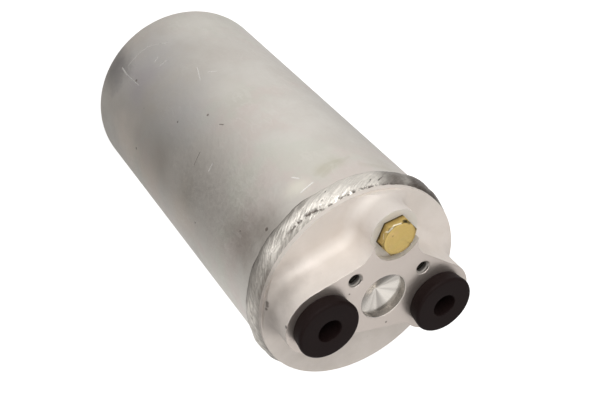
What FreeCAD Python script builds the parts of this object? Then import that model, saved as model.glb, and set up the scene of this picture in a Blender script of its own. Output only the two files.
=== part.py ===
import FreeCAD, Part
import math
import os
from FreeCAD import Vector

# Receiver drier: a drawn aluminium can stands on its closed end, and a forged
# and machined header is welded into its open end. The origin is the middle of
# the flat bottom, Z runs up the can, and X runs from the inlet to the outlet.

os.makedirs("parts", exist_ok=True)

# Can
can_radius = 44.5
can_wall = 2.2
can_floor = 4.0
can_length = 171.2
bottom_corner_radius = 14.0

# Header body and its weld seam
flange_height = 6.3
flange_step = 0.15
spigot_length = 8.0
spigot_clearance = 0.2
seam_chamfer = 1.6
bead_reach_down = 5.6
bead_reach_up = 4.7
bead_height = 1.7
rim_land = 0.75

# Raised pad on the header
pad_height = 15.5
port_spacing = 54.0
port_line_y = -1.0
lobe_radius = 15.4
pad_lower_y = -11.1
web_angle = 26.0
boss_radius = 10.4
boss_x = -0.8
boss_y = 32.5
corner_blend = 6.0
boss_blend = 9.0
foot_fillet = 5.0
pad_edge_bevel = 0.12

# Ports and the passages under them
port_radius = 8.7
port_depth = 9.5
port_lead = 0.8
inlet_passage_radius = 4.2
outlet_passage_radius = 3.2

# Screw holes for the line fittings, drawn at the thread's outer diameter
screw_radius = 3.0
screw_spacing = 31.6
screw_y = 15.4
screw_depth = 14.0
screw_mouth = 0.25

# Blind bore between the ports
bore_radius = 10.0
bore_y = 4.8
bore_wall_depth = 3.2
bore_cone_depth = 2.6
bore_mouth = 0.3

# Switch port with its plug
spotface_radius = 10.5
spotface_depth = 2.9
switch_thread_radius = 5.0
switch_thread_depth = 12.0
switch_passage_radius = 2.0
seal_seat_radius = 6.9
hexagon_across = 14.0
hexagon_height = 3.9
hexagon_turn = 19.0
hexagon_face_radius = 6.85
plug_thread_length = 9.5
thread_clearance = 0.05
seal_section = 1.8

# Push-in caps of the two ports
cap_radius = 13.0
cap_base_radius = 12.3
cap_height = 6.2
cap_edge_radius = 1.3
cap_stem_length = 7.6
cap_stem_clearance = 0.3
cap_lip_height = 1.6
cap_hole_radius = 4.95
cap_hole_depth = 11.0

# Pickup tube
tube_radius = 4.75
tube_wall = 1.2
tube_socket_depth = 9.0
tube_ring_section = 1.6
ring_from_underside = 2.4

# Charge of the can
plate_thickness = 1.0
plate_wall_gap = 0.2
lower_plate_top = 27.0
upper_skirt_height = 8.0
plate_corner_radius = 2.0
plate_hole_radius = 1.6
plate_hole_pitch = 7.5
plate_hole_margin = 3.2
pad_thickness = 5.0
bed_height = 84.0
fill_gap = 0.1

# Rubber grommets round the tube, one in each plate
grommet_wall = 1.6
grommet_flange = 1.4
grommet_flange_height = 0.9

# Spring that holds the charge down
spring_radius = 17.0
spring_wire = 2.4
spring_pitch = 6.4
spring_seat_depth = 1.4
spring_seat_play = 0.6

# Strainer on the foot of the tube
strainer_stand_off = 3.2
tube_lap = 0.5
cage_radius = 6.6
cage_collar_height = 5.0
cage_window_height = 8.8
cage_rib_width = 1.8
cage_ribs = 4
cage_slip = 0.05
mesh_radius = 5.5
mesh_thickness = 0.4
mesh_rows = 5
mesh_columns = 16
mesh_gap = 1.1
strainer_cap_height = 1.2
strainer_cap_spigot = 1.2

# Heights and radii worked out from the sizes above
can_inner_radius = can_radius - can_wall
inner_corner_radius = bottom_corner_radius - can_wall
rim_z = can_length + flange_height
pad_top_z = rim_z + pad_height
underside_z = can_length - spigot_length
flange_radius = can_radius - flange_step
spigot_radius = can_inner_radius - spigot_clearance
seam_root_radius = can_radius - seam_chamfer
spotface_z = pad_top_z - spotface_depth
port_bottom_z = pad_top_z - port_depth
lower_pad_low_z = lower_plate_top
bed_low_z = lower_pad_low_z + pad_thickness
upper_pad_low_z = bed_low_z + bed_height
upper_plate_z = upper_pad_low_z + pad_thickness
window_low_z = can_floor + strainer_stand_off + strainer_cap_height + strainer_cap_spigot
window_high_z = window_low_z + cage_window_height
inlet_place = Vector(-port_spacing / 2, port_line_y, 0)
outlet_place = Vector(port_spacing / 2, port_line_y, 0)
bore_place = Vector(0, bore_y, 0)
switch_place = Vector(boss_x, boss_y, 0)
up = Vector(0, 0, 1)


def moved(shape, place, height=0.0):
    """A copy of the shape at a place in plan, lifted to a height."""
    copy = shape.copy()
    copy.translate(Vector(place.x, place.y, height))
    return copy


def cylinder(radius, low, high, place=Vector()):
    return Part.makeCylinder(radius, high - low, Vector(place.x, place.y, low))


def cone(low_radius, high_radius, low, high, place=Vector()):
    return Part.makeCone(low_radius, high_radius, high - low, Vector(place.x, place.y, low))


def ring(inner, outer, low, high, place=Vector()):
    return cylinder(outer, low, high, place).cut(cylinder(inner, low, high, place))


def line(start, end):
    return Part.makeLine(Vector(start[0], 0, start[1]), Vector(end[0], 0, end[1]))


def arc(start, middle, end):
    points = [Vector(radius, 0, height) for radius, height in (start, middle, end)]
    return Part.Arc(*points).toShape()


def turned(edges):
    """A solid of revolution about Z from a closed chain of edges in the XZ plane."""
    return Part.Face(Part.Wire(edges)).revolve(Vector(), up, 360)


def corner_middle(centre, radius, angle):
    turn = math.radians(angle)
    return (centre[0] + radius * math.cos(turn), centre[1] + radius * math.sin(turn))


def save(shape, node):
    solids = shape.Solids
    if len(solids) != 1 or not shape.isValid():
        raise RuntimeError(f"{node}: {len(solids)} solids, valid {shape.isValid()}")
    solids[0].exportStep(f"parts/{node}.step")
    print(f"{node}: {solids[0].Volume / 1000:.2f} cm3")
    return solids[0]


def make_can():
    outer_centre = (can_radius - bottom_corner_radius, bottom_corner_radius)
    inner_centre = (can_inner_radius - inner_corner_radius, can_floor + inner_corner_radius)
    outer_low = (outer_centre[0], 0)
    outer_high = (can_radius, outer_centre[1])
    inner_low = (inner_centre[0], can_floor)
    inner_high = (can_inner_radius, inner_centre[1])
    seam_low = (can_radius, can_length - seam_chamfer)
    seam_root = (seam_root_radius, can_length)
    mouth = (can_inner_radius, can_length)
    return turned([
        line((0, 0), outer_low),
        arc(outer_low, corner_middle(outer_centre, bottom_corner_radius, -45), outer_high),
        line(outer_high, seam_low),
        line(seam_low, seam_root),
        line(seam_root, mouth),
        line(mouth, inner_high),
        arc(inner_high, corner_middle(inner_centre, inner_corner_radius, -45), inner_low),
        line(inner_low, (0, can_floor)),
        line((0, can_floor), (0, 0)),
    ])


def make_weld_bead():
    """The bead fills the groove between can and header and stands proud of both."""
    low_toe = (can_radius, can_length - bead_reach_down)
    high_toe = (flange_radius, can_length + bead_reach_up)
    crown = (can_radius + bead_height, can_length)
    groove_low = (can_radius, can_length - seam_chamfer)
    root = (seam_root_radius, can_length)
    groove_high = (flange_radius, can_length + flange_radius - seam_root_radius)
    return turned([
        arc(low_toe, crown, high_toe),
        line(high_toe, groove_high),
        line(groove_high, root),
        line(root, groove_low),
        line(groove_low, low_toe),
    ])


def web_line():
    """Normal and offset of the web's right edge, which touches the outlet lobe."""
    slope = math.radians(web_angle)
    normal = Vector(math.sin(slope), math.cos(slope), 0)
    return normal, normal.dot(outlet_place) + lobe_radius


def make_pad():
    """The raised pad: two lobes, the web between them and the switch boss."""
    low = rim_z - flange_height / 2
    normal, offset = web_line()
    touch = outlet_place + normal * lobe_radius
    apex = Vector(0, offset / normal.y, 0)
    corners = [
        Vector(inlet_place.x, pad_lower_y, low),
        Vector(outlet_place.x, pad_lower_y, low),
        Vector(touch.x, touch.y, low),
        Vector(apex.x, apex.y, low),
        Vector(-touch.x, touch.y, low),
    ]
    web = Part.Face(Part.makePolygon(corners + corners[:1])).extrude(up * (pad_top_z - low))
    lobes = [cylinder(lobe_radius, low, pad_top_z, place) for place in (inlet_place, outlet_place)]
    boss = cylinder(boss_radius, low, pad_top_z, switch_place)
    pad = web.multiFuse([*lobes, boss]).removeSplitter()

    # Inside corners between lobe and lower edge, then between web and boss
    lobe_drop = port_line_y - pad_lower_y
    lower_x = outlet_place.x - math.sqrt(lobe_radius ** 2 - lobe_drop ** 2)
    lower_corners = [(-lower_x, pad_lower_y), (lower_x, pad_lower_y)]
    boss_corners = []
    for side in (-1, 1):
        edge_normal = Vector(side * normal.x, normal.y, 0)
        past_web = edge_normal.dot(switch_place) - offset
        along = Vector(side * normal.y, -normal.x, 0)
        reach = math.sqrt(boss_radius ** 2 - past_web ** 2)
        corner = switch_place - edge_normal * past_web + along * reach
        boss_corners.append((corner.x, corner.y))
    for blend, places in ((corner_blend, lower_corners), (boss_blend, boss_corners)):
        edges = [edge for edge in pad.Edges if is_upright_at(edge, places)]
        pad = pad.makeFillet(blend, edges)
    top_edges = [edge for edge in pad.Edges if lies_at(edge, pad_top_z)]
    return pad.makeChamfer(pad_edge_bevel, top_edges)


def is_upright_at(edge, places):
    box = edge.BoundBox
    if box.XLength > 0.01 or box.YLength > 0.01:
        return False
    return any(math.hypot(box.XMin - x, box.YMin - y) < 0.05 for x, y in places)


def lies_at(edge, height):
    box = edge.BoundBox
    return abs(box.ZMin - height) < 0.01 and abs(box.ZMax - height) < 0.01


def make_header_body():
    """Disc with a turned rim, pad with its foot fillet, and the spigot in the can."""
    blank_radius = can_radius + 3 * foot_fillet
    blank = cylinder(blank_radius, can_length, rim_z)
    body = blank.fuse(make_pad()).removeSplitter()
    foot = [edge for edge in body.Edges
            if lies_at(edge, rim_z) and abs(edge.BoundBox.XMax) < can_radius + 1]
    body = body.makeFillet(foot_fillet, foot)
    body = body.common(cylinder(flange_radius, can_length, pad_top_z + 1))
    body = body.cut(ring(flange_radius - rim_land, flange_radius + 1, rim_z, pad_top_z + 1))
    seam = turned([
        line((seam_root_radius, can_length), (can_radius + 1, can_length)),
        line((can_radius + 1, can_length),
             (can_radius + 1, can_length + can_radius + 1 - seam_root_radius)),
        line((can_radius + 1, can_length + can_radius + 1 - seam_root_radius),
             (seam_root_radius, can_length)),
    ])
    spigot = cylinder(spigot_radius, underside_z, can_length)
    return body.cut(seam).fuse(spigot).removeSplitter()


def port_cut(place):
    bore = cylinder(port_radius, port_bottom_z, pad_top_z + 1, place)
    mouth_radius = port_radius + port_lead
    mouth = cone(port_radius, mouth_radius, pad_top_z - port_lead, pad_top_z, place)
    return bore.fuse(mouth)


def screw_cut(place):
    bottom = pad_top_z - screw_depth
    hole = cylinder(screw_radius, bottom, pad_top_z + 1, place)
    tip = cone(0.0, screw_radius, bottom - screw_radius * 0.6, bottom, place)
    mouth = cone(screw_radius, screw_radius + screw_mouth, pad_top_z - screw_mouth, pad_top_z, place)
    return hole.multiFuse([tip, mouth])


def switch_cut():
    seat_depth = seal_seat_radius - switch_thread_radius
    spotface = cylinder(spotface_radius, spotface_z, pad_top_z + 1, switch_place)
    seat = cone(switch_thread_radius, seal_seat_radius, spotface_z - seat_depth, spotface_z,
                switch_place)
    thread_bottom = spotface_z - switch_thread_depth
    thread = cylinder(switch_thread_radius, thread_bottom, spotface_z, switch_place)
    passage = cylinder(switch_passage_radius, underside_z - 1, thread_bottom, switch_place)
    return spotface.multiFuse([seat, thread, passage])


def bore_cut():
    wall_z = pad_top_z - bore_wall_depth
    wall = cylinder(bore_radius, wall_z, pad_top_z + 1, bore_place)
    tip = cone(0.0, bore_radius, wall_z - bore_cone_depth, wall_z, bore_place)
    mouth = cone(bore_radius, bore_radius + bore_mouth, pad_top_z - bore_mouth, pad_top_z,
                 bore_place)
    return wall.multiFuse([tip, mouth])


def make_header():
    socket_top = underside_z + tube_socket_depth
    inlet_passage = cylinder(inlet_passage_radius, underside_z - 1, port_bottom_z, inlet_place)
    outlet_passage = cylinder(outlet_passage_radius, socket_top, port_bottom_z, outlet_place)
    socket = cylinder(tube_radius, underside_z - 1, socket_top, outlet_place)
    groove_z = underside_z + ring_from_underside
    ring_groove = cylinder(tube_radius + tube_ring_section, groove_z,
                           groove_z + tube_ring_section, outlet_place)
    seat_half = (spring_wire + spring_seat_play) / 2
    spring_seat = ring(spring_radius - seat_half, spring_radius + seat_half,
                       underside_z - 1, underside_z + spring_seat_depth)
    screws = [screw_cut(Vector(side * screw_spacing / 2, screw_y, 0)) for side in (-1, 1)]
    cuts = [port_cut(inlet_place), port_cut(outlet_place), inlet_passage, outlet_passage,
            socket, ring_groove, spring_seat, switch_cut(), bore_cut(), *screws]
    body = make_header_body()
    for cut in cuts:
        body = body.cut(cut)
    return body


def make_port_cap(place):
    """A moulded cap: a thick flange on the pad and a hollow stem with a sealing lip."""
    stem_radius = port_radius - cap_stem_clearance
    top = cap_height
    edge_centre = (cap_radius - cap_edge_radius, top - cap_edge_radius)
    lip_z = -cap_stem_length / 2
    tip = -cap_stem_length
    hole_z = top - cap_hole_depth
    cap = turned([
        line((cap_hole_radius, top), (edge_centre[0], top)),
        arc((edge_centre[0], top), corner_middle(edge_centre, cap_edge_radius, 45),
            (cap_radius, edge_centre[1])),
        line((cap_radius, edge_centre[1]), (cap_base_radius, 0)),
        line((cap_base_radius, 0), (stem_radius, 0)),
        line((stem_radius, 0), (stem_radius, lip_z + cap_lip_height / 2)),
        arc((stem_radius, lip_z + cap_lip_height / 2), (port_radius, lip_z),
            (stem_radius, lip_z - cap_lip_height / 2)),
        line((stem_radius, lip_z - cap_lip_height / 2), (stem_radius, tip)),
        line((stem_radius, tip), (0, tip)),
        line((0, tip), (0, hole_z)),
        line((0, hole_z), (cap_hole_radius, hole_z)),
        line((cap_hole_radius, hole_z), (cap_hole_radius, top)),
    ])
    return moved(cap, place, pad_top_z)


def make_switch_plug():
    """Hexagon head with a chamfered face over a plain shank of the thread's size."""
    corner_radius = hexagon_across / math.sqrt(3)
    turns = [math.radians(hexagon_turn + 60 * step) for step in range(7)]
    corners = [Vector(corner_radius * math.cos(t), corner_radius * math.sin(t), 0) for t in turns]
    head = Part.Face(Part.makePolygon(corners)).extrude(up * hexagon_height)
    chamfer = (corner_radius - hexagon_face_radius) * math.tan(math.radians(30))
    limit = cone(corner_radius, hexagon_face_radius, hexagon_height - chamfer, hexagon_height)
    limit = limit.fuse(cylinder(corner_radius, 0, hexagon_height - chamfer))
    shank_radius = switch_thread_radius - thread_clearance
    shank = cylinder(shank_radius, -plug_thread_length + 1, 0)
    tip = cone(shank_radius - 1, shank_radius, -plug_thread_length, -plug_thread_length + 1)
    plug = head.common(limit).multiFuse([shank, tip]).removeSplitter()
    return moved(plug, switch_place, spotface_z)


def make_plug_o_ring():
    """The seal lies in the conical seat, under the head and round the shank."""
    half = seal_section / 2
    shank_radius = switch_thread_radius - thread_clearance
    centre = shank_radius + half * 0.8
    torus = Part.makeTorus(centre, half, Vector(0, 0, -half))
    seat_depth = seal_seat_radius - switch_thread_radius
    seat = cone(switch_thread_radius, seal_seat_radius, -seat_depth, 0)
    seal = torus.common(seat).cut(cylinder(shank_radius, -seal_section, 1))
    return moved(seal, switch_place, spotface_z)


def make_pickup_tube():
    high = underside_z + tube_socket_depth
    return ring(tube_radius - tube_wall, tube_radius, window_high_z - tube_lap, high,
                outlet_place)


def make_tube_o_ring():
    low = underside_z + ring_from_underside
    half = tube_ring_section / 2
    torus = Part.makeTorus(tube_radius + half, half)
    return moved(torus, outlet_place, low + half)


def plate_holes(low, high):
    """Drainage holes on a triangular grid, clear of the rim and of the tube."""
    row_step = plate_hole_pitch * math.sqrt(3) / 2
    plate_radius = can_inner_radius - plate_wall_gap
    reach = plate_radius - plate_corner_radius - plate_hole_margin - plate_hole_radius
    tube_keep = tube_radius + grommet_wall + grommet_flange + plate_hole_radius + 0.5
    rows = int(reach / row_step)
    holes = []
    for row in range(-rows, rows + 1):
        shift = plate_hole_pitch / 2 if row % 2 else 0.0
        steps = int(2 * reach / plate_hole_pitch) + 1
        for step in range(-steps, steps + 1):
            place = Vector(step * plate_hole_pitch + shift, row * row_step, 0)
            if place.Length > reach or (place - outlet_place).Length < tube_keep:
                continue
            holes.append(cylinder(plate_hole_radius, low - 1, high + 1, place))
    return holes


def make_plate(skirt_height):
    """A drawn cup with its flat on top, at height zero, and its skirt hanging down."""
    outer = can_inner_radius - plate_wall_gap
    inner = outer - plate_thickness
    corner = plate_corner_radius
    inner_corner = corner - plate_thickness
    centre = (outer - corner, -corner)
    cup = turned([
        line((0, 0), (centre[0], 0)),
        arc((centre[0], 0), corner_middle(centre, corner, 45), (outer, centre[1])),
        line((outer, centre[1]), (outer, -skirt_height)),
        line((outer, -skirt_height), (inner, -skirt_height)),
        line((inner, -skirt_height), (inner, centre[1])),
        arc((inner, centre[1]), corner_middle(centre, inner_corner, 45),
            (centre[0], -plate_thickness)),
        line((centre[0], -plate_thickness), (0, -plate_thickness)),
        line((0, -plate_thickness), (0, 0)),
    ])
    tube_hole = cylinder(tube_radius + grommet_wall, -plate_thickness - 1, 1, outlet_place)
    return cup.cut(tube_hole).cut(Part.makeCompound(plate_holes(-plate_thickness, 0)))


def make_lower_plate():
    """The skirt stands where the can's rounded inner corner has its own radius."""
    across = can_inner_radius - inner_corner_radius
    skirt = can_inner_radius - plate_wall_gap
    rise = math.sqrt(inner_corner_radius ** 2 - (skirt - across) ** 2)
    foot_z = can_floor + inner_corner_radius - rise
    return moved(make_plate(lower_plate_top - foot_z), Vector(), lower_plate_top)


def make_upper_plate():
    plate = make_plate(upper_skirt_height)
    plate.rotate(Vector(), Vector(1, 0, 0), 180)
    plate = plate.mirror(Vector(), Vector(0, 1, 0))
    return moved(plate, Vector(), upper_plate_z)


def make_grommet(plate_low):
    """A grooved ring: its groove holds the plate's edge and its bore grips the tube."""
    groove = tube_radius + grommet_wall
    flange = groove + grommet_flange
    high = plate_low + plate_thickness
    body = cylinder(groove, plate_low - grommet_flange_height, high + grommet_flange_height,
                    outlet_place)
    low_flange = cylinder(flange, plate_low - grommet_flange_height, plate_low, outlet_place)
    high_flange = cylinder(flange, high, high + grommet_flange_height, outlet_place)
    bore = cylinder(tube_radius, plate_low - 5, high + 5, outlet_place)
    return body.multiFuse([low_flange, high_flange]).removeSplitter().cut(bore)


def make_filter_pad(low, grommet_low):
    """A felt disc with a pocket for the grommet flange that stands in it."""
    disc = cylinder(can_inner_radius - fill_gap, low, low + pad_thickness)
    tube_hole = cylinder(tube_radius + fill_gap, low - 1, low + pad_thickness + 1, outlet_place)
    pocket_radius = tube_radius + grommet_wall + grommet_flange + fill_gap
    pocket = cylinder(pocket_radius, grommet_low, grommet_low + grommet_flange_height, outlet_place)
    return disc.cut(tube_hole).cut(pocket)


def make_desiccant_bed():
    low = bed_low_z
    disc = cylinder(can_inner_radius - fill_gap, low, low + bed_height)
    return disc.cut(cylinder(tube_radius + fill_gap, low - 1, low + bed_height + 1, outlet_place))


def make_spring():
    """A coil spring held between the upper plate and its seat in the header."""
    low = upper_plate_z + plate_thickness
    high = underside_z + spring_seat_depth
    helix = Part.makeHelix(spring_pitch, high - low - spring_wire, spring_radius)
    helix.translate(Vector(0, 0, low + spring_wire / 2))
    start = helix.Vertexes[0].Point
    section = Part.Wire(Part.makeCircle(spring_wire / 2, start, Vector(0, 1, 0)))
    return Part.Wire(helix.Edges).makePipeShell([section], True, True)


def make_strainer_cage():
    low, high = window_low_z, window_high_z
    collar = ring(tube_radius + cage_slip, cage_radius, high, high + cage_collar_height,
                  outlet_place)
    foot = ring(mesh_radius, cage_radius, low - strainer_cap_spigot, low, outlet_place)
    wall = ring(mesh_radius, cage_radius, low, high, outlet_place)
    ribs = []
    for index in range(cage_ribs):
        rib = Part.makeBox(cage_radius + 1, cage_rib_width, high - low,
                           Vector(0, -cage_rib_width / 2, low))
        rib.rotate(Vector(), up, 45 + 360 * index / cage_ribs)
        rib.translate(outlet_place)
        ribs.append(rib)
    ribs = Part.makeCompound(ribs).common(wall)
    return collar.multiFuse([foot, *ribs.Solids]).removeSplitter()


def make_strainer_mesh():
    low, high = window_low_z, window_high_z
    sleeve = ring(mesh_radius - mesh_thickness, mesh_radius, low, high, outlet_place)
    row_step = (high - low) / mesh_rows
    gaps = []
    for row in range(mesh_rows):
        for column in range(mesh_columns):
            height = low + row_step * (row + 0.5) - mesh_gap / 2
            gap = Part.makeBox(mesh_radius + 1, mesh_gap, mesh_gap,
                               Vector(0, -mesh_gap / 2, height))
            gap.rotate(Vector(), up, 360 * (column + 0.5) / mesh_columns)
            gap.translate(outlet_place)
            gaps.append(gap)
    return sleeve.cut(Part.makeCompound(gaps))


def make_strainer_cap():
    base = window_low_z - strainer_cap_spigot
    disc = cylinder(cage_radius, base - strainer_cap_height, base, outlet_place)
    plug = cylinder(mesh_radius, base, window_low_z, outlet_place)
    return disc.fuse(plug).removeSplitter()


save(make_can(), "can")
save(make_weld_bead(), "weld_bead")
save(make_header(), "header")
save(make_port_cap(inlet_place), "inlet_port_cap")
save(make_port_cap(outlet_place), "outlet_port_cap")
save(make_switch_plug(), "switch_port_plug")
save(make_plug_o_ring(), "switch_plug_o_ring")
save(make_pickup_tube(), "pickup_tube")
save(make_tube_o_ring(), "tube_o_ring")
save(make_lower_plate(), "lower_plate")
save(make_upper_plate(), "upper_plate")
save(make_grommet(lower_plate_top - plate_thickness), "lower_tube_grommet")
save(make_grommet(upper_plate_z), "upper_tube_grommet")
save(make_filter_pad(lower_pad_low_z, lower_plate_top), "lower_filter_pad")
save(make_filter_pad(upper_pad_low_z, upper_plate_z - grommet_flange_height), "upper_filter_pad")
save(make_desiccant_bed(), "desiccant_bed")
save(make_spring(), "compression_spring")
save(make_strainer_cage(), "strainer_cage")
save(make_strainer_mesh(), "strainer_mesh")
save(make_strainer_cap(), "strainer_cap")
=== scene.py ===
import bpy
import bmesh
import math
from mathutils import Matrix, Vector, noise


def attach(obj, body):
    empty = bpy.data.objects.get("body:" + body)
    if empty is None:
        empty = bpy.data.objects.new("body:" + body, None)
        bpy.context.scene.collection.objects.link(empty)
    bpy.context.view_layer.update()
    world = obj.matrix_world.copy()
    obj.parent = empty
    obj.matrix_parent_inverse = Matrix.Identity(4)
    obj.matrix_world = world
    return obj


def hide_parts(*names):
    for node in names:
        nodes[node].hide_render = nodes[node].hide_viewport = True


# Receiver drier, seen from above its header. Lengths are in metres.

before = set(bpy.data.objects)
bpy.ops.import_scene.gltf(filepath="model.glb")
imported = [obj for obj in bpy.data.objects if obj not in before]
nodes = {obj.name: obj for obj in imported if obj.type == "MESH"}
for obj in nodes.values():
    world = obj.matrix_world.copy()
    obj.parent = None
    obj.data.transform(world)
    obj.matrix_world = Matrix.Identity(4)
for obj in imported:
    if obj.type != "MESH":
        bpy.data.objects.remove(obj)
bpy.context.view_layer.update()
print("frame loaded:", len(nodes), "nodes")

# Sizes that the pieces share with the solids
size = {
    "canRadius": 0.0445,
    "canWall": 0.0022,
    "canFloor": 0.004,
    "bottomCorner": 0.014,
    "seamHeight": 0.1712,
    "foldReach": (-0.036, -0.018),
    "padHeight": 0.193,
    "ledgeHeight": 0.1901,
    "portX": 0.027,
    "portY": -0.001,
    "screwX": 0.0158,
    "screwY": 0.0154,
    "boreY": 0.0048,
    "switchX": -0.0008,
    "switchY": 0.0325,
}


# Camera, solved from the outline of the can and the circles of the header

camera = {
    "lens": 63.597,
    "right": (0.850761, 0.17959, 0.493916),
    "up": (0.12493, 0.843757, -0.521983),
    "back": (-0.510488, 0.505787, 0.6954),
    "place": (-0.230322, 0.23595, 0.440558),
}


def makeCamera(values):
    data = bpy.data.cameras.new("camera")
    data.lens = values["lens"]
    data.sensor_width = 36.0
    data.clip_start = 0.01
    camera = bpy.data.objects.new("camera", data)
    bpy.context.scene.collection.objects.link(camera)
    turn = Matrix((values["right"], values["up"], values["back"])).transposed()
    camera.matrix_world = Matrix.Translation(values["place"]) @ turn.to_4x4()
    bpy.context.scene.camera = camera


makeCamera(camera)
print("camera set")


# Node helpers: an input takes a value or another node's output

def setInput(tree, socket, value):
    if isinstance(value, bpy.types.NodeSocket):
        tree.links.new(value, socket)
    else:
        socket.default_value = value


def addNode(tree, kind, inputs=None, **settings):
    node = tree.nodes.new(kind)
    for name, value in settings.items():
        setattr(node, name, value)
    for key, value in (inputs or {}).items():
        setInput(tree, node.inputs[key], value)
    return node


def addMath(tree, operation, first, second=0.5, clamp=False):
    return addNode(tree, "ShaderNodeMath", {0: first, 1: second},
                   operation=operation, use_clamp=clamp).outputs[0]


def addVectorMath(tree, operation, first, second=(0, 0, 0), output="Vector"):
    return addNode(tree, "ShaderNodeVectorMath", {0: first, 1: second},
                   operation=operation).outputs[output]


def addRamp(tree, value, low, high, lowValue=0.0, highValue=1.0):
    return addNode(tree, "ShaderNodeMapRange", {
        "Value": value, "From Min": low, "From Max": high,
        "To Min": lowValue, "To Max": highValue,
    }, interpolation_type="SMOOTHSTEP").outputs["Result"]


def addMix(tree, factor, first, second):
    return addNode(tree, "ShaderNodeMix", {0: factor, 6: first, 7: second},
                   data_type="RGBA").outputs[2]


def addNoise(tree, vector, scale, detail, roughness=0.5):
    return addNode(tree, "ShaderNodeTexNoise", {
        "Vector": vector, "Scale": scale, "Detail": detail, "Roughness": roughness,
    }).outputs["Fac"]


def addLevel(tree, place):
    return addNode(tree, "ShaderNodeSeparateXYZ", {"Vector": place}).outputs["Z"]


def addTogether(tree, values):
    total = values[0]
    for value in values[1:]:
        total = addMath(tree, "ADD", total, value)
    return total


def addAny(tree, masks):
    return addMath(tree, "MINIMUM", addTogether(tree, masks), 1.0)


def addWeighted(tree, masks, weights):
    return addTogether(tree, [addMath(tree, "MULTIPLY", masks[name], weight)
                              for name, weight in weights.items()])


def addBump(tree, height, strength, distance):
    return addNode(tree, "ShaderNodeBump", {
        "Height": height, "Strength": strength, "Distance": distance,
    }).outputs["Normal"]


def colour(red, green, blue):
    return (red, green, blue, 1.0)


# Shared effects: each node group turns a place on the piece into a mask

def newMaskGroup(name, **inputs):
    tree = bpy.data.node_groups.new(name, "ShaderNodeTree")
    for label, value in {"Vector": (0, 0, 0), **inputs}.items():
        kind = "NodeSocketVector" if isinstance(value, tuple) else "NodeSocketFloat"
        socket = tree.interface.new_socket(label, in_out="INPUT", socket_type=kind)
        socket.default_value = value
    tree.interface.new_socket("Mask", in_out="OUTPUT", socket_type="NodeSocketFloat")
    return tree, addNode(tree, "NodeGroupInput").outputs


def endMaskGroup(tree, mask):
    addNode(tree, "NodeGroupOutput", {"Mask": mask})
    return tree


def makeMottleGroup():
    tree, given = newMaskGroup("mottle", Scale=60.0, Low=0.4, High=0.65)
    cloud = addNoise(tree, given["Vector"], given["Scale"], detail=5.0, roughness=0.62)
    return endMaskGroup(tree, addRamp(tree, cloud, given["Low"], given["High"]))


def makeSpeckGroup():
    tree, given = newMaskGroup("speck", Scale=300.0, Size=0.18, Rarity=0.8)
    cells = addNode(tree, "ShaderNodeTexVoronoi", {
        "Vector": given["Vector"], "Scale": given["Scale"],
    }).outputs
    dot = addRamp(tree, cells["Distance"], given["Size"], 0.0)
    lot = addNode(tree, "ShaderNodeSeparateColor", {"Color": cells["Color"]}).outputs["Red"]
    chosen = addMath(tree, "GREATER_THAN", lot, given["Rarity"])
    return endMaskGroup(tree, addMath(tree, "MULTIPLY", dot, chosen))


def makeHairlineGroup():
    tree, given = newMaskGroup("hairline", Stretch=(1, 1, 1), Scale=80.0, Amount=0.3)
    drawn = addVectorMath(tree, "MULTIPLY", given["Vector"], given["Stretch"])
    lines = addNoise(tree, drawn, given["Scale"], detail=3.0, roughness=0.7)
    crest = addMath(tree, "ABSOLUTE", addMath(tree, "SUBTRACT", lines, 0.5))
    thin = addRamp(tree, crest, low=0.03, high=0.0)
    patch = addNoise(tree, given["Vector"], scale=45.0, detail=2.0)
    patch = addRamp(tree, patch, low=0.45, high=0.7)
    mask = addMath(tree, "MULTIPLY", addMath(tree, "MULTIPLY", thin, patch), given["Amount"])
    return endMaskGroup(tree, mask)


def makeSpotGroup():
    tree, given = newMaskGroup("spot", Centre=(0, 0, 0), Radius=0.01, Core=0.3)
    ragged = addNoise(tree, given["Vector"], scale=110.0, detail=3.0)
    ragged = addMath(tree, "MULTIPLY", addMath(tree, "SUBTRACT", ragged, 0.5), 0.9)
    gap = addVectorMath(tree, "DISTANCE", given["Vector"], given["Centre"], "Value")
    share = addMath(tree, "DIVIDE", gap, given["Radius"])
    edge = addMath(tree, "ADD", share, ragged)
    return endMaskGroup(tree, addRamp(tree, edge, 1.0, given["Core"]))


def makeStrokeGroup():
    tree, given = newMaskGroup("stroke", Start=(0, 0, 0), End=(0, 0, 0.01), Width=0.0003)
    reach = addVectorMath(tree, "SUBTRACT", given["End"], given["Start"])
    offset = addVectorMath(tree, "SUBTRACT", given["Vector"], given["Start"])
    along = addMath(tree, "DIVIDE", addVectorMath(tree, "DOT_PRODUCT", offset, reach, "Value"),
                    addVectorMath(tree, "DOT_PRODUCT", reach, reach, "Value"), clamp=True)
    foot = addNode(tree, "ShaderNodeVectorMath", {0: reach, "Scale": along},
                   operation="SCALE").outputs[0]
    gap = addVectorMath(tree, "DISTANCE", offset, foot, "Value")
    share = addMath(tree, "DIVIDE", gap, given["Width"])
    return endMaskGroup(tree, addRamp(tree, share, low=1.0, high=0.3))


mottle = makeMottleGroup()
speck = makeSpeckGroup()
hairline = makeHairlineGroup()
spot = makeSpotGroup()
stroke = makeStrokeGroup()
print("effects made")


# Material helpers: textures and marks are laid on a base colour one after the other.
# A tint names a mask, its strength and a tone, and a bump is a strength and a distance.

def startMaterial(name):
    material = bpy.data.materials.new(name)
    material.use_nodes = True
    tree = material.node_tree
    place = addNode(tree, "ShaderNodeTexCoord").outputs["Object"]
    return material, tree, tree.nodes["Principled BSDF"], place


def setShader(tree, shader, **inputs):
    for name, value in inputs.items():
        setInput(tree, shader.inputs[name.replace("_", " ")], value)


def addMask(tree, group, place, **inputs):
    return addNode(tree, "ShaderNodeGroup", {"Vector": place, **inputs},
                   node_tree=group).outputs["Mask"]


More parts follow.
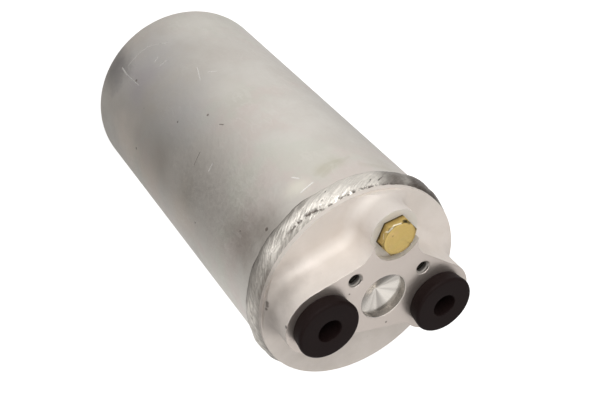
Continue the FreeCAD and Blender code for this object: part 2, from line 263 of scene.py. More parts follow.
def addMasks(tree, place, textures):
    return {name: addMask(tree, group, place, **inputs)
            for name, (group, inputs) in textures.items()}


def addSpots(tree, place, spots, core):
    return addAny(tree, [addMask(tree, spot, place, Centre=centre, Radius=radius, Core=core)
                         for centre, radius in spots])


def addStrokes(tree, place, lines):
    return addAny(tree, [addMask(tree, stroke, place, Start=start, End=end, Width=width)
                         for start, end, width in lines])


def addTint(tree, base, mask, strength, tone):
    return addMix(tree, addMath(tree, "MULTIPLY", mask, strength), base, tone)


def addTints(tree, base, masks, tones, tints):
    for mask, strength, tone in tints:
        base = addTint(tree, base, masks[mask], strength, tones[tone])
    return base


# Tints a ragged round spot; it lays stains as well as painted light and shade.
def addSpotTint(tree, place, base, centre, radius, strength, tone, core=0.0):
    tintSpot = addMask(tree, spot, place, Centre=centre, Radius=radius, Core=core)
    return addTint(tree, base, tintSpot, strength, tone)


# Can metal: satin, drawn along the can, with the patches, pits and light scratches of the photo

canFinish = {
    "metal": colour(0.66, 0.62, 0.57),
    "pale": colour(0.71, 0.68, 0.63),
    "rose": colour(0.69, 0.61, 0.565),
    "sage": colour(0.66, 0.66, 0.585),
    "dark": colour(0.16, 0.13, 0.11),
    "bright": colour(0.92, 0.9, 0.86),
    "metallic": 0.9,
    "roughness": 0.34,
    "textures": {
        "cloudy": (mottle, {"Scale": 38.0, "Low": 0.35, "High": 0.7}),
        "fine": (mottle, {"Scale": 520.0, "Low": 0.3, "High": 0.75}),
        "drawn": (hairline, {"Stretch": (1, 1, 0.05), "Scale": 620.0, "Amount": 0.6}),
        "rubbed": (hairline, {"Stretch": (1, 1, 0.5), "Scale": 90.0, "Amount": 0.5}),
        "dots": (speck, {"Scale": 170.0, "Size": 0.1, "Rarity": 0.93}),
        "roseWash": (mottle, {"Scale": 22.0, "Low": 0.48, "High": 0.6}),
        "sageWash": (mottle, {"Scale": 23.32, "Low": 0.51, "High": 0.63}),
    },
    "washes": [("roseWash", 0.6, "rose"), ("sageWash", 0.6, "sage")],
    "marks": [("rubbed", 0.3, "bright"), ("dots", 0.35, "dark"),
              ("pitted", 0.75, "dark"), ("scratched", 0.85, "bright")],
    "roughened": {"fine": 0.1, "cloudy": -0.05, "scratched": -0.1},
    "relief": {"fine": 0.3, "drawn": -0.25, "dots": -0.5, "pitted": -1.0, "scratched": -0.5},
    "bump": (0.35, 0.0003),
    "pitCore": 0.5,
    # Spots of tone on the can, mostly painted light and shade: the pale spots, and the dark ones
    # at the bottom corner and down the left side. The brown and olive ones just under the bead are
    # stains.
    "stainsAndPaintedLight": [    # centre, radius, tone, strength
        ((-0.034, 0.0285, 0.035), 0.03, colour(0.66, 0.64, 0.645), 0.6),
        ((-0.0361, 0.026, 0.0774), 0.03, colour(0.66, 0.65, 0.64), 0.6),
        ((-0.0404, 0.0179, 0.010), 0.018, colour(0.24, 0.22, 0.21), 0.8),
        ((-0.0423, 0.0138, 0.153), 0.018, colour(0.42, 0.37, 0.33), 0.8),
        ((-0.0385, 0.0223, 0.162), 0.015, colour(0.42, 0.38, 0.34), 0.7),
        ((-0.0443, 0.0039, 0.108), 0.012, colour(0.50, 0.46, 0.40), 0.5),
        ((-0.0441, 0.0059, 0.080), 0.016, colour(0.54, 0.50, 0.44), 0.5),
        ((-0.0256, 0.0364, 0.158), 0.008, colour(0.88, 0.85, 0.74), 0.6),
        ((-0.0141, 0.0423, 0.157), 0.006, colour(0.55, 0.51, 0.40), 0.45),
        ((-0.0072, 0.0439, 0.155), 0.006, colour(0.52, 0.49, 0.38), 0.45),
        ((0.012, 0.0429, 0.160), 0.010, colour(0.58, 0.54, 0.47), 0.4),
        ((-0.0443, -0.0047, 0.0426), 0.022, colour(0.92, 0.82, 0.73), 0.6),
        ((-0.0435, -0.0090, 0.0700), 0.020, colour(0.80, 0.70, 0.61), 0.55),
        ((-0.0438, -0.0070, 0.1050), 0.022, colour(0.79, 0.70, 0.61), 0.55),
        ((-0.0385, 0.0220, 0.0400), 0.016, colour(0.60, 0.55, 0.565), 0.5),
        ((-0.0402, 0.0190, 0.0190), 0.012, colour(0.36, 0.34, 0.335), 0.65),
        ((-0.0060, 0.0440, 0.0240), 0.026, colour(0.81, 0.78, 0.725), 0.75),
        ((-0.0196, 0.0399, 0.0837), 0.015, colour(0.75, 0.72, 0.665), 0.7),
        ((-0.0372, -0.0244, 0.1155), 0.022, colour(0.56, 0.53, 0.495), 0.7),
        ((0.0008, 0.0445, 0.1405), 0.014, colour(0.60, 0.56, 0.51), 0.6),
        ((-0.0436, 0.0089, 0.0937), 0.013, colour(0.80, 0.75, 0.69), 0.6),
    ],
    "pits": [    # centre, radius
        ((-0.0386, 0.0221, 0.0356), 0.0008),
        ((-0.0303, 0.0326, 0.0908), 0.0008),
        ((-0.0377, 0.0236, 0.079), 0.0006),
        ((-0.0445, -0.0016, 0.0559), 0.0007),
        ((-0.0385, 0.0223, 0.1622), 0.0009),
        ((-0.0445, -0.0016, 0.1188), 0.0006),
        ((-0.0422, 0.0142, 0.1501), 0.0005),
    ],
    "darkLines": [    # start, end, width
        ((-0.0296, 0.0333, 0.1006), (-0.0288, 0.0339, 0.1022), 0.0004),
        ((-0.041, 0.0174, 0.1046), (-0.0384, 0.0226, 0.1034), 0.0003),
    ],
    "stain": colour(0.40, 0.37, 0.25),
    "stainReach": (0.2, 0.8),
    "stainStrength": (0.12, 0.32),
    "stainLines": [
        ((-0.0175, 0.0409, 0.1575), (-0.0118, 0.0429, 0.1549), 0.0019),
        ((-0.0118, 0.0429, 0.1549), (-0.0049, 0.0442, 0.1545), 0.0015),
        ((-0.0160, 0.0415, 0.1600), (-0.0098, 0.0434, 0.1571), 0.0016),
        ((-0.0060, 0.0441, 0.1560), (-0.0010, 0.0445, 0.1535), 0.0011),
        ((0.0010, 0.0445, 0.1600), (0.0120, 0.0429, 0.1632), 0.0022),
    ],
    "lightLines": [
        ((-0.0374, 0.024, 0.0232), (-0.0332, 0.0297, 0.0235), 0.0003),
        ((-0.0332, 0.0297, 0.0235), (-0.029, 0.0337, 0.0245), 0.0003),
        ((-0.029, 0.0337, 0.0245), (-0.0228, 0.0382, 0.0308), 0.0003),
        ((-0.0391, 0.0212, 0.0203), (-0.0393, 0.0208, 0.0264), 0.0006),
        ((-0.0393, 0.0208, 0.0264), (-0.0389, 0.0217, 0.0392), 0.0003),
        ((-0.0311, 0.0318, 0.0372), (-0.0292, 0.0336, 0.0358), 0.0003),
        ((-0.0308, 0.0321, 0.0421), (-0.0276, 0.0349, 0.042), 0.0003),
        ((-0.0212, 0.0391, 0.0596), (-0.0238, 0.0376, 0.0687), 0.0003),
        ((-0.0191, 0.0402, 0.0667), (-0.0163, 0.0414, 0.0686), 0.0003),
        ((-0.0395, 0.0204, 0.1151), (-0.038, 0.0231, 0.1144), 0.0004),
        ((-0.0244, 0.0372, 0.152), (-0.023, 0.0381, 0.1546), 0.0004),
        ((-0.0256, 0.0364, 0.1615), (-0.0205, 0.0395, 0.1605), 0.0005),
    ],
}


def makeCanMaterial(values):
    material, tree, shader, place = startMaterial("canMetal")
    masks = addMasks(tree, place, values["textures"])
    masks["pitted"] = addAny(tree, [
        addSpots(tree, place, values["pits"], values["pitCore"]),
        addStrokes(tree, place, values["darkLines"]),
    ])
    masks["scratched"] = addStrokes(tree, place, values["lightLines"])
    base = addMix(tree, masks["cloudy"], values["metal"], values["pale"])
    base = addTints(tree, base, masks, values, values["washes"])
    for centre, radius, tone, strength in values["stainsAndPaintedLight"]:
        base = addSpotTint(tree, place, base, centre, radius, strength, tone)
    base = addTints(tree, base, masks, values, values["marks"])
    stained = addStrokes(tree, place, values["stainLines"])
    strength = addRamp(tree, masks["cloudy"], *values["stainReach"], *values["stainStrength"])
    base = addTint(tree, base, stained, strength, values["stain"])
    rough = addMath(tree, "ADD", addWeighted(tree, masks, values["roughened"]),
                    values["roughness"])
    height = addWeighted(tree, masks, values["relief"])
    setShader(tree, shader, Base_Color=base, Metallic=values["metallic"], Roughness=rough,
              Normal=addBump(tree, height, *values["bump"]))
    return material


# Header metal: forged skin, a finely machined pad face, and a bore with tool marks laid round it
# and painted highlight and shade in broad sectors.
# A pair of values is for the skin and the machined faces, or for outside and inside the bore.

headerFinish = {
    "metal": colour(0.775, 0.71, 0.65),
    "pale": colour(0.84, 0.775, 0.72),
    "dark": colour(0.31, 0.27, 0.24),
    "dirt": colour(0.07, 0.055, 0.045),
    "padFace": colour(0.60, 0.53, 0.48),
    "turnedShadeSector": colour(0.30, 0.28, 0.255),
    "turnedSheenSector": colour(0.66, 0.62, 0.57),
    "sheenSectorScale": 1.1,
    "sheenSectorReach": (0.35, 0.6),
    "sheenSectorShift": (3.7, 1.2, 0.0),
    "ledge": colour(0.76, 0.72, 0.66),
    # The screw hole walls are darker than the pad face: painted shade in the holes.
    "screwHole": colour(0.52, 0.48, 0.44),
    "metallic": (0.2, 0.85),
    "roughness": (0.6, 0.32),
    "textures": {
        "cloudy": (mottle, {"Scale": 70.0, "Low": 0.35, "High": 0.7}),
        "fine": (mottle, {"Scale": 700.0, "Low": 0.3, "High": 0.75}),
        "dots": (speck, {"Scale": 260.0, "Size": 0.16, "Rarity": 0.93}),
    },
    "faces": [("face", 0.95, "padFace"), ("inBore", 0.95, "turned"),
              ("inRecess", 0.95, "ledge"), ("inScrew", 0.95, "screwHole"),
              ("dots", 0.35, "dark")],
    "roughened": {"inBore": -0.09, "cloudy": -0.05},
    "relief": {"dots": -0.5, "nicked": -1.0},
    "fineRoughness": (0.08, 0.0),
    "fineRelief": (0.2, 0.03),
    "bump": (0.3, 0.0002),
    "screwRadius": 0.00303,
    "boreRadius": 0.0101,
    "recessRadius": 0.0106,
    "faceSkin": 0.0001,
    "ledgeSkin": 0.00005,
    "turnedGrain": 0.85,
    # Painted shade: darker spots on the disc face, mostly at its left.
    "paintedShadeSpots": [    # centre, radius, strength
        ((-0.0390, 0.0040, 0.1775), 0.018, 0.7),
        ((-0.0405, -0.0080, 0.1775), 0.014, 0.5),
        ((-0.0050, -0.0330, 0.1775), 0.020, 0.15),
    ],
    "nickCore": 0.4,
    "nickStrength": 0.75,
    "nicks": [    # centre, radius
        ((-0.0435, 0.0010, 0.1792), 0.0010),
        ((-0.0434, -0.0002, 0.1795), 0.0009),
        ((-0.0435, -0.0017, 0.1794), 0.0008),
        ((-0.0306, -0.0165, 0.1775), 0.0008),
        ((0.0047, -0.0087, 0.193), 0.0006),
        ((-0.0171, 0.0095, 0.193), 0.0005),
        ((-0.0425, -0.0005, 0.1925), 0.0008),
        ((-0.0182, 0.0065, 0.193), 0.0005),
    ],
}


def makeHeaderMaterial(values):
    material, tree, shader, place = startMaterial("headerMetal")
    masks = addMasks(tree, place, values["textures"])
    masks["nicked"] = addSpots(tree, place, values["nicks"], values["nickCore"])
    level = addLevel(tree, place)
    flat = addVectorMath(tree, "MULTIPLY", place, (1, 1, 0))
    top = size["padHeight"] - values["faceSkin"]

    def nearAxis(x, y, radius, bottom=0.0):
        gap = addVectorMath(tree, "DISTANCE", flat, (x, y, 0), "Value")
        between = addMath(tree, "MULTIPLY", addMath(tree, "LESS_THAN", level, top),
                          addMath(tree, "GREATER_THAN", level, bottom))
        return addMath(tree, "MULTIPLY", addMath(tree, "LESS_THAN", gap, radius), between)

    masks["face"] = addMath(tree, "GREATER_THAN", level, top)
    masks["inBore"] = nearAxis(0, size["boreY"], values["boreRadius"])
    masks["inRecess"] = nearAxis(size["switchX"], size["switchY"], values["recessRadius"],
                                 size["ledgeHeight"] - values["ledgeSkin"])
    masks["inScrew"] = addAny(tree, [nearAxis(x, size["screwY"], values["screwRadius"])
                                     for x in (-size["screwX"], size["screwX"])])
    machined = addAny(tree, [masks[name] for name in ("inBore", "face", "inScrew")])

    def machinedPair(pair):
        return addRamp(tree, machined, 0.0, 1.0, *pair)

    def borePair(pair):
        return addRamp(tree, masks["inBore"], 0.0, 1.0, *pair)

    # The bore is painted darker than the skin as painted shade in the hollow, and laid in broad
    # pale and dark sectors round its axis: painted highlight and shade for the reflection of the
    # turned grooves.
    spoke = addVectorMath(tree, "SUBTRACT", flat, (0, size["boreY"], 0))
    around = addVectorMath(tree, "CROSS_PRODUCT", (0, 0, 1), spoke)
    around = addVectorMath(tree, "NORMALIZE", around)
    sector = addVectorMath(tree, "NORMALIZE", spoke)
    sector = addVectorMath(tree, "ADD", sector, values["sheenSectorShift"])
    sheenSectors = addNoise(tree, sector, values["sheenSectorScale"], detail=2.0)
    sheenSectors = addRamp(tree, sheenSectors, *values["sheenSectorReach"])
    turned = addMix(tree, sheenSectors, values["turnedShadeSector"], values["turnedSheenSector"])
    base = addMix(tree, masks["cloudy"], values["metal"], values["pale"])
    base = addTints(tree, base, masks, {**values, "turned": turned}, values["faces"])
    # Painted shade laid on the disc face.
    for tintSpot in values["paintedShadeSpots"]:
        base = addSpotTint(tree, place, base, *tintSpot, values["dark"])
    base = addTint(tree, base, masks["nicked"], values["nickStrength"], values["dirt"])
    roughened = {**values["roughened"], "fine": borePair(values["fineRoughness"])}
    rough = addMath(tree, "ADD", addWeighted(tree, masks, roughened),
                    machinedPair(values["roughness"]))
    relief = {**values["relief"], "fine": borePair(values["fineRelief"])}
    height = addWeighted(tree, masks, relief)
    grain = addMath(tree, "MULTIPLY", masks["inBore"], values["turnedGrain"])
    setShader(tree, shader, Base_Color=base, Metallic=machinedPair(values["metallic"]),
              Roughness=rough, Anisotropic=grain, Tangent=around,
              Normal=addBump(tree, height, *values["bump"]))
    return material


# Weld metal: bright ripples, darker in the low streaks, with pits and painted shade along the
# crease, painted shade along the toe and in spots. Heights are over the seam, and a pair of
# strengths is for the front and the left end of the bead.

weldFinish = {
    "metal": colour(0.93, 0.88, 0.805),
    "sootAndShade": colour(0.10, 0.08, 0.065),
    "metallic": 0.6,
    "roughness": 0.34,
    "textures": {
        "patchy": (mottle, {"Scale": 150.0, "Low": 0.45, "High": 0.7}),
        "grain": (mottle, {"Scale": 560.0, "Low": 0.42, "High": 0.56}),
        "along": (mottle, {"Scale": 75.0, "Low": 0.4, "High": 0.62}),
    },
    "streaks": {"Scale": 720.0, "Low": 0.4, "High": 0.6},
    "streakStretch": 0.45,
    "slant": -1.8,
    "grooveStrength": (0.19, 0.42),
    "pitHeight": (0.0042, 0.0018),
    "pitWander": 0.0006,
    "pitSpread": 0.0014,
    "pitReach": (-0.033, -0.040),
    "pitStrength": (1.0, 0.12),
    "slashStrength": (0.35, 1.0),
    # The toe and the shoulders are painted shade: a dark line where the bead meets the can, and
    # dark bands at the left end of the bead.
    "toe": (-0.0041, -0.0056),
    "shoulders": [(-0.0006, -0.0042), (0.0024, 0.0040)],
    "tints": [("groove", 1.0, "sootAndShade"), ("shoulder", 0.45, "sootAndShade"), ("toe", 0.9, "sootAndShade"),
              ("pits", 0.97, "sootAndShade")],
    "patchStrength": 0.14,
    "patchRoughness": 0.12,
    "bump": (0.5, 0.0004),
    "beadShadeCore": 0.3,
    # Painted shade: darker spots on the bead, mostly towards its right end.
    "paintedBeadShade": [    # centre, radius, strength
        ((0.0250, 0.0370, 0.1720), 0.025, 0.95),
        ((0.0420, 0.0160, 0.1720), 0.018, 0.7),
        ((-0.0440, 0.0060, 0.1712), 0.014, 0.5),
        ((0.0080, 0.0440, 0.1690), 0.011, 0.65),
    ],
    "slashes": [    # start, end, width
        ((-0.0088, 0.0451, 0.1763), (-0.0054, 0.0456, 0.1738), 0.0005),
        ((-0.0063, 0.0455, 0.1748), (-0.0024, 0.0458, 0.1719), 0.0004),
        ((-0.0017, 0.0459, 0.1744), (0.0028, 0.0458, 0.1719), 0.0004),
        ((0.0026, 0.0458, 0.1715), (0.0089, 0.0450, 0.1674), 0.0006),
        ((-0.0190, 0.0418, 0.1760), (-0.0176, 0.0424, 0.1754), 0.0007),
        ((-0.0325, 0.0324, 0.1737), (-0.0292, 0.0354, 0.1737), 0.0006),
        ((-0.0284, 0.0361, 0.1743), (-0.0240, 0.0391, 0.1753), 0.0004),
        ((-0.0319, 0.0330, 0.1657), (-0.0266, 0.0374, 0.1643), 0.0005),
        ((-0.0202, 0.0412, 0.1690), (-0.0238, 0.0393, 0.1728), 0.0003),
    ],
}


def makeWeldMaterial(values):
    material, tree, shader, place = startMaterial("weldMetal")
    seam = size["seamHeight"]
    masks = addMasks(tree, place, values["textures"])
    x, y, level = addNode(tree, "ShaderNodeSeparateXYZ", {"Vector": place}).outputs
    arc = addMath(tree, "MULTIPLY", addMath(tree, "ARCTAN2", y, x), size["canRadius"])
    streakPlace = addNode(tree, "ShaderNodeCombineXYZ", {
        "X": addMath(tree, "ADD", arc, addMath(tree, "MULTIPLY", level, values["slant"])),
        "Y": addMath(tree, "MULTIPLY", level, values["streakStretch"]),
    }).outputs[0]
    streak = addMask(tree, mottle, streakPlace, **values["streaks"])
    side = addRamp(tree, x, *size["foldReach"], 1.0, 0.0)

    def fromFront(pair):
        return addRamp(tree, side, 0.0, 1.0, *pair)

    def overSeam(start, end):
        return addRamp(tree, level, seam + start, seam + end)

    # The pit line follows the crease: real pits, and painted shade in the crease.
    pitLevel = addMath(tree, "ADD", addMath(tree, "MULTIPLY", masks["along"], values["pitWander"]),
                       fromFront([seam + height for height in values["pitHeight"]]))
    off = addMath(tree, "ABSOLUTE", addMath(tree, "SUBTRACT", level, pitLevel))
    pits = addMath(tree, "MULTIPLY", addRamp(tree, off, values["pitSpread"], 0.0), masks["grain"])
    pits = addMath(tree, "MULTIPLY", pits,
                   addRamp(tree, x, *values["pitReach"], *values["pitStrength"]))
    slashes = addMath(tree, "MULTIPLY", addStrokes(tree, place, values["slashes"]),
                      addRamp(tree, masks["grain"], 0.0, 1.0, *values["slashStrength"]))
    # Painted shade along the toe and, at the left end, on the shoulders.
    shoulders = [overSeam(*reach) for reach in values["shoulders"]]
    masks["pits"] = addMath(tree, "MAXIMUM", pits, slashes)
    masks["toe"] = overSeam(*values["toe"])
    masks["shoulder"] = addMath(tree, "MULTIPLY", addMath(tree, "MAXIMUM", *shoulders), side)
    # Darker in the low parts of the streaks, more so at the left end.
    masks["groove"] = addMath(tree, "MULTIPLY", addMath(tree, "SUBTRACT", 1.0, streak),
                              fromFront(values["grooveStrength"]))
    base = addTint(tree, values["metal"], masks["patchy"], values["patchStrength"],
                   values["sootAndShade"])
    for beadShade in values["paintedBeadShade"]:
        base = addSpotTint(tree, place, base, *beadShade, values["sootAndShade"], values["beadShadeCore"])
    base = addTints(tree, base, masks, values, values["tints"])
    rough = addMath(tree, "ADD", values["roughness"],
                    addMath(tree, "MULTIPLY", masks["patchy"], values["patchRoughness"]))
    height = addMath(tree, "SUBTRACT", streak, masks["pits"])
    setShader(tree, shader, Base_Color=base, Metallic=values["metallic"], Roughness=rough,
              Normal=addBump(tree, height, *values["bump"]))
    return material


# Cap rubber: smooth, nearly black and a little dusty

rubberFinish = {
    "rubber": colour(0.0125, 0.0068, 0.0063),
    "dust": colour(0.026, 0.018, 0.018),
    "roughness": 0.5,
    "shine": 0.08,
    "textures": {
        "cloudy": (mottle, {"Scale": 160.0, "Low": 0.4, "High": 0.8}),
        "fine": (mottle, {"Scale": 1300.0, "Low": 0.3, "High": 0.8}),
    },
    "dustStrength": 0.35,
    "dustRoughness": 0.12,
    "bump": (0.25, 0.0001),
}


def makeRubberMaterial(values):
    material, tree, shader, place = startMaterial("capRubber")
    masks = addMasks(tree, place, values["textures"])
    base = addTint(tree, values["rubber"], masks["cloudy"], values["dustStrength"],
                   values["dust"])
    rough = addMath(tree, "ADD", values["roughness"],
                    addMath(tree, "MULTIPLY", masks["cloudy"], values["dustRoughness"]))
    setShader(tree, shader, Base_Color=base, Roughness=rough,
              Specular_IOR_Level=values["shine"],
              Normal=addBump(tree, masks["fine"], *values["bump"]))
    return material


# Passivated steel of the hexagon plug, with painted highlights on its upper-left chamfer and
# painted shade at its foot and along its edges

plugFinish = {
    "gold": colour(0.52, 0.375, 0.13),
    "rose": colour(0.60, 0.37, 0.21),
    "green": colour(0.42, 0.39, 0.15),
    "grimeAndShade": colour(0.05, 0.04, 0.02),
    "paintedHighlight": colour(0.98, 0.90, 0.72),
    "metallic": 0.95,
    "roughness": 0.19,
    "textures": {
        "warm": (mottle, {"Scale": 190.0, "Low": 0.5, "High": 0.75}),
        "cool": (mottle, {"Scale": 150.0, "Low": 0.52, "High": 0.8}),
        "fine": (mottle, {"Scale": 900.0, "Low": 0.3, "High": 0.8}),
    },
    "tints": [("warm", 0.35, "rose"), ("cool", 0.3, "green"), ("foot", 0.85, "grimeAndShade")],
    "footReach": (0.0013, 0.0003),
    "fineRoughness": 0.08,
    "bump": (0.05, 0.0001),
    # Pale strokes on the upper-left chamfer are painted highlights; dark strokes along the foot
    # and the face edges are painted shade, and the short one at the lower right is a real nick.
    "marks": [    # start, end, width, tone, strength
        ((-0.0070, 0.0361, 0.1935), (-0.0059, 0.0376, 0.1937), 0.0005, "paintedHighlight", 0.8),
        ((-0.0059, 0.0376, 0.1937), (-0.0046, 0.0385, 0.1933), 0.0005, "paintedHighlight", 0.9),
        ((-0.0046, 0.0385, 0.1933), (-0.0022, 0.0394, 0.1938), 0.0005, "paintedHighlight", 0.8),
        ((-0.0072, 0.0362, 0.1932), (-0.0078, 0.0352, 0.1922), 0.0004, "paintedHighlight", 0.6),
        ((-0.0009, 0.0402, 0.1934), (0.0019, 0.0388, 0.1935), 0.0009, "grimeAndShade", 0.9),
        ((-0.0084, 0.0299, 0.1934), (-0.0084, 0.0299, 0.1902), 0.0008, "grimeAndShade", 0.85),
        ((-0.0083, 0.0318, 0.1910), (-0.0079, 0.0335, 0.1904), 0.0006, "grimeAndShade", 0.7),
        ((-0.0080, 0.0330, 0.1931), (-0.0077, 0.0345, 0.1921), 0.0004, "paintedHighlight", 0.5),
        ((-0.0076, 0.0300, 0.1936), (-0.0046, 0.0267, 0.1936), 0.0005, "grimeAndShade", 0.5),
        ((-0.0046, 0.0267, 0.1936), (-0.0010, 0.0249, 0.1936), 0.0005, "grimeAndShade", 0.4),
        ((0.0053, 0.0289, 0.1938), (0.0062, 0.0293, 0.1932), 0.0007, "grimeAndShade", 0.85),
        ((-0.0047, 0.0341, 0.1940), (-0.0044, 0.0344, 0.1940), 0.0003, "grimeAndShade", 0.5),
    ],
}


def makePlugMaterial(values):
    material, tree, shader, place = startMaterial("plugSteel")
    masks = addMasks(tree, place, values["textures"])
    # Painted shade at the foot, where the plug meets its seat.
    masks["foot"] = addRamp(tree, addLevel(tree, place),
                            *[size["ledgeHeight"] + height for height in values["footReach"]])
    base = addTints(tree, values["gold"], masks, values, values["tints"])
    for start, end, width, tone, strength in values["marks"]:
        mark = addMask(tree, stroke, place, Start=start, End=end, Width=width)
        base = addTint(tree, base, mark, strength, values[tone])
    rough = addMath(tree, "ADD", values["roughness"],
                    addMath(tree, "MULTIPLY", masks["fine"], values["fineRoughness"]))
    setShader(tree, shader, Base_Color=base, Metallic=values["metallic"], Roughness=rough,
              Normal=addBump(tree, masks["fine"], *values["bump"]))
    return material


# Finishes of the threads and of the parts inside the can

innerFinishes = {
    "threadMetal": {"low": colour(0.46, 0.42, 0.38), "high": colour(0.58, 0.54, 0.5),
                    "metallic": 0.8, "roughness": 0.42, "scale": 900.0, "relief": 0.1,
                    "depthShade": colour(0.03, 0.025, 0.02), "depthShadeReach": (0.1928, 0.1902)},
    "tubeMetal": {"low": colour(0.6, 0.6, 0.59), "high": colour(0.75, 0.75, 0.74),
                  "metallic": 0.9, "roughness": 0.3, "scale": 200.0, "relief": 0.15},
    "plateSteel": {"low": colour(0.42, 0.42, 0.41), "high": colour(0.56, 0.56, 0.55),
                   "metallic": 0.9, "roughness": 0.38, "scale": 180.0, "relief": 0.2},
    "springSteel": {"low": colour(0.2, 0.2, 0.21), "high": colour(0.34, 0.34, 0.35),
                    "metallic": 0.9, "roughness": 0.32, "scale": 300.0, "relief": 0.2},
    "sealRubber": {"low": colour(0.02, 0.075, 0.04), "high": colour(0.03, 0.11, 0.06),
                   "metallic": 0.0, "roughness": 0.45, "scale": 500.0, "relief": 0.15},
    "filterFelt": {"low": colour(0.6, 0.58, 0.52), "high": colour(0.78, 0.76, 0.7),
                   "metallic": 0.0, "roughness": 0.95, "scale": 1400.0, "relief": 1.0},
    "desiccantBeads": {"low": colour(0.42, 0.35, 0.25), "high": colour(0.7, 0.6, 0.46),
                       "metallic": 0.0, "roughness": 0.85, "scale": 450.0, "relief": 1.0},
    "strainerPlastic": {"low": colour(0.68, 0.66, 0.6), "high": colour(0.78, 0.77, 0.72),
                        "metallic": 0.0, "roughness": 0.45, "scale": 250.0, "relief": 0.1},
    "strainerWeave": {"low": colour(0.62, 0.62, 0.6), "high": colour(0.85, 0.85, 0.82),
                      "metallic": 0.0, "roughness": 0.7, "scale": 1800.0, "relief": 0.6},
}

innerLook = {"low": 0.35, "high": 0.7, "roughened": 0.06, "depth": 0.0004}


def makeInnerMaterial(name, values, look):
    material, tree, shader, place = startMaterial(name)
    cloudy = addMask(tree, mottle, place, Scale=values["scale"], Low=look["low"],
                     High=look["high"])
    base = addMix(tree, cloudy, values["low"], values["high"])
    if "depthShade" in values:    # painted shade, darker deeper down the holes
        deep = addRamp(tree, addLevel(tree, place), *values["depthShadeReach"])
        base = addMix(tree, deep, base, values["depthShade"])
    rough = addMath(tree, "ADD", values["roughness"],
                    addMath(tree, "MULTIPLY", cloudy, look["roughened"]))
    setShader(tree, shader, Base_Color=base, Metallic=values["metallic"], Roughness=rough,
              Normal=addBump(tree, cloudy, values["relief"], look["depth"]))
    return material


canMetal = makeCanMaterial(canFinish)
headerMetal = makeHeaderMaterial(headerFinish)
weldMetal = makeWeldMaterial(weldFinish)
capRubber = makeRubberMaterial(rubberFinish)
plugSteel = makePlugMaterial(plugFinish)
inner = {name: makeInnerMaterial(name, values, innerLook)
         for name, values in innerFinishes.items()}
print("materials made")


# Mesh helpers

mergeGap = 0.000001


def finishPiece(name, mesh, material, replaced, sharpAngle=35.0):
    bmesh.ops.remove_doubles(mesh, verts=mesh.verts, dist=mergeGap)
    bmesh.ops.recalc_face_normals(mesh, faces=mesh.faces)
    data = bpy.data.meshes.new(name)
    mesh.to_mesh(data)
    mesh.free()
    for face in data.polygons:
        face.use_smooth = True
    data.set_sharp_from_angle(angle=math.radians(sharpAngle))
    data.materials.append(material)
    piece = bpy.data.objects.new(name, data)
    bpy.context.scene.collection.objects.link(piece)
    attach(piece, "root")
    if replaced:
        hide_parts(*replaced)
    return piece


def arcPoints(centre, radius, start, end, steps):
    points = []
    for step in range(steps + 1):
        angle = math.radians(start + (end - start) * step / steps)
        points.append((centre[0] + radius * math.cos(angle),
                       centre[1] + radius * math.sin(angle)))
    return points


def lathe(profile, segments, centre=(0, 0), closed=False, sectors=1):
    mesh = bmesh.new()
    verts = [mesh.verts.new((centre[0] + radius, centre[1], height)) for radius, height in profile]
    pairs = list(zip(verts, verts[1:]))
    if closed:
        pairs.append((verts[-1], verts[0]))
    edges = [mesh.edges.new(pair) for pair in pairs]
    middle = (centre[0], centre[1], 0)
    sector = 2 * math.pi / sectors
    bmesh.ops.spin(mesh, geom=verts + edges, cent=middle, axis=(0, 0, 1), angle=sector,
                   steps=segments // sectors, use_merge=sectors == 1)
    if sectors > 1:    # a fine mesh is spun as one sector, which is then copied round
        bmesh.ops.spin(mesh, geom=[*mesh.verts, *mesh.edges, *mesh.faces], cent=middle,
                       axis=(0, 0, 1), angle=2 * math.pi - sector, steps=sectors - 1,
                       use_duplicate=True)
        bmesh.ops.remove_doubles(mesh, verts=mesh.verts, dist=mergeGap)
    return mesh


# Can shell

canShell = {
    "segments": 256,
    "cornerSteps": 18,
    "rings": (0.05, 0.09, 0.13),
    "rimChamfer": 0.0016,
}


def makeCan(values):
    outer = size["canRadius"]
    inner = outer - size["canWall"]
    corner = size["bottomCorner"]
    innerCorner = corner - size["canWall"]
    floor = size["canFloor"]
    seam = size["seamHeight"]
    steps = values["cornerSteps"]
    chamfer = values["rimChamfer"]
    profile = [(0, 0)]
    profile += arcPoints((outer - corner, corner), corner, -90, 0, steps)
    profile += [(outer, height) for height in values["rings"]]
    profile += [(outer, seam - chamfer), (outer - chamfer, seam), (inner, seam)]
    profile += arcPoints((inner - innerCorner, floor + innerCorner), innerCorner, 0, -90, steps)
    profile += [(0, floor)]
    mesh = lathe(profile, values["segments"])
    return finishPiece("canShell", mesh, canMetal, ["can"])


makeCan(canShell)
print("can made")


# Weld bead: overlapping slanted ripples laid round the seam, with a pitted front edge.
# Scales are those of the noise that moves a thing. The fold's place, wander and width are
# shares of the bead's width.

bead = {
    "reachDown": 0.0056,
    "reachUp": 0.0047,
    "height": 0.0017,
    "rootShoulder": (0.0005, 0.0004),
    "rootDepth": 0.0021,
    "segments": 1800,
    "sectors": 60,
    "rows": 26,
    "crownPower": 0.7,
    "rippleLength": 0.0021,
    "rippleHeight": 0.00013,
    "rippleRise": 0.8,
    "rippleDrift": 1.6,
    "rippleScale": 150.0,
    "slant": -8.0,
    "fineShare": 0.12,
    "fineScale": 1100.0,
    "foldHeight": 0.00065,
    "foldPlace": (0.72, 0.95),
    "foldWander": 0.07,
    "foldScale": 230.0,
    "foldWidth": 0.05,
    "creaseScale": 520.0,
    "creaseDepth": (0.45, 0.55),
    "lumpHeight": 0.0005,
    "lumpScale": 120.0,
    "lumpLayers": (0.9, 2.0, 2),
    "edgeWave": 0.0011,
    "edgeScale": 80.0,
    "edgeFineWave": 0.25,
    "edgeFineScale": 330.0,
    "edgeSink": 0.00015,
    "toeSink": 0.0002,
}


